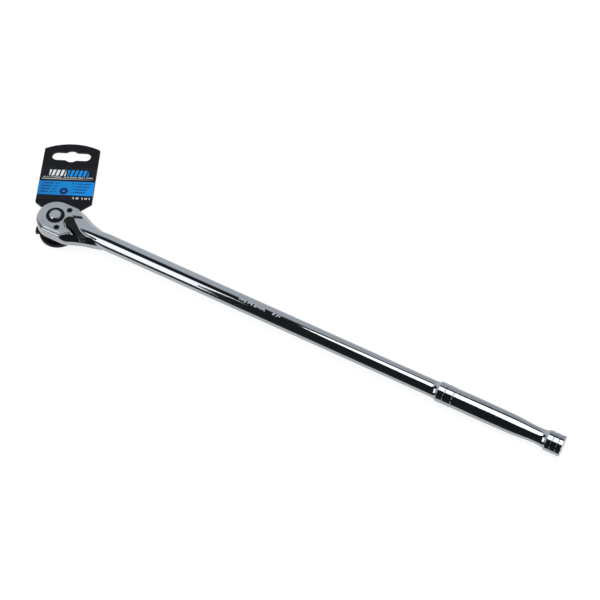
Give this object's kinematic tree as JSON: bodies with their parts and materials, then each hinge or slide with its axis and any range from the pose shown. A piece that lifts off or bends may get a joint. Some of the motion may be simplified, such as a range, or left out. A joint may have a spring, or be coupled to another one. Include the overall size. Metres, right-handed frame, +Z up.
{
  "type": "ratchet handle",
  "caption": "Long-handled reversible ratchet with a pear-shaped quick-release head, a square drive and a moulded hang tag.",
  "frame": {"origin": "on the drive axis, in the end face of the drive square", "axes": "+Z up the drive axis through the release button, +X along the shaft to the end of the handle"},
  "size_m": [0.5012, 0.1042, 0.0273],
  "materials": {
    "chrome_forging": "polished chrome plate on forged steel",
    "chrome_grip": "polished chrome plate on turned steel",
    "satin_chrome": "satin chrome plate on a stamped cover",
    "button_chrome": "satin chrome plate",
    "black_oxide": "black oxide on hardened steel",
    "phosphate_steel": "manganese phosphate on hardened steel",
    "bare_steel": "bright spring and pin steel",
    "seal_rubber": "nitrile rubber",
    "black_nylon": "moulded black nylon with a light sheen",
    "lever_black": "moulded black plastic, slightly worn",
    "tag_plastic": "moulded black polypropylene",
    "tag_print": "printed label, black with a blue band"
  },
  "bodies": {
    "tool": {"ratchet_body": "chrome_forging", "handle_grip": "chrome_grip", "cover_plate": "satin_chrome", "cover_screws": "black_oxide", "dust_ring": "black_nylon", "thrust_washer": "bare_steel", "drive_seal": "seal_rubber", "lever_clip": "bare_steel", "lever_seal": "seal_rubber"},
    "drive": {"drive_gear": "phosphate_steel", "release_spring": "bare_steel"},
    "ball": {"detent_ball": "bare_steel"},
    "button": {"release_button": "button_chrome", "release_pin": "bare_steel"},
    "lever": {"reverse_lever": "lever_black", "selector_post": "bare_steel", "pawl_plunger": "bare_steel", "pawl_spring": "bare_steel"},
    "pawl": {"pawl": "phosphate_steel"},
    "tag": {"hang_tag": "tag_plastic", "tag_label": "tag_print"}
  },
  "joints": [
    {"name": "drive_spin", "type": "hinge", "parent": "tool", "child": "drive", "pos_m": [0, 0, 0.017], "axis": [0, 0, 1], "continuous": true},
    {"name": "button_press", "type": "slide", "parent": "drive", "child": "button", "axis": [0, 0, -1], "range_m": [0, 0.0022], "stiffness_N_per_m": 900, "springref_m": -0.001, "deforming": ["release_spring"]},
    {"name": "ball_slide", "type": "slide", "parent": "drive", "child": "ball", "axis": [-0.9063, -0.4226, 0], "range_m": [0, 0.0011]},
    {"name": "lever_turn", "type": "hinge", "parent": "tool", "child": "lever", "pos_m": [0.0141, 0, 0.02], "axis": [0, 0, 1], "range_deg": [0, 61]},
    {"name": "pawl_rock", "type": "hinge", "parent": "tool", "child": "pawl", "pos_m": [0.0115, 0, 0.0165], "axis": [0, 0, 1], "range_deg": [-8, 0]},
    {"name": "tag_pull", "type": "slide", "parent": "drive", "child": "tag", "axis": [0, 0, -1], "range_m": [0, 0.0125]}
  ],
  "couplings": [
    {"joint": "ball_slide", "follows": "button_press", "ratio": 0.5},
    {"joint": "pawl_rock", "follows": "lever_turn", "ratio": -0.13115}
  ]
}
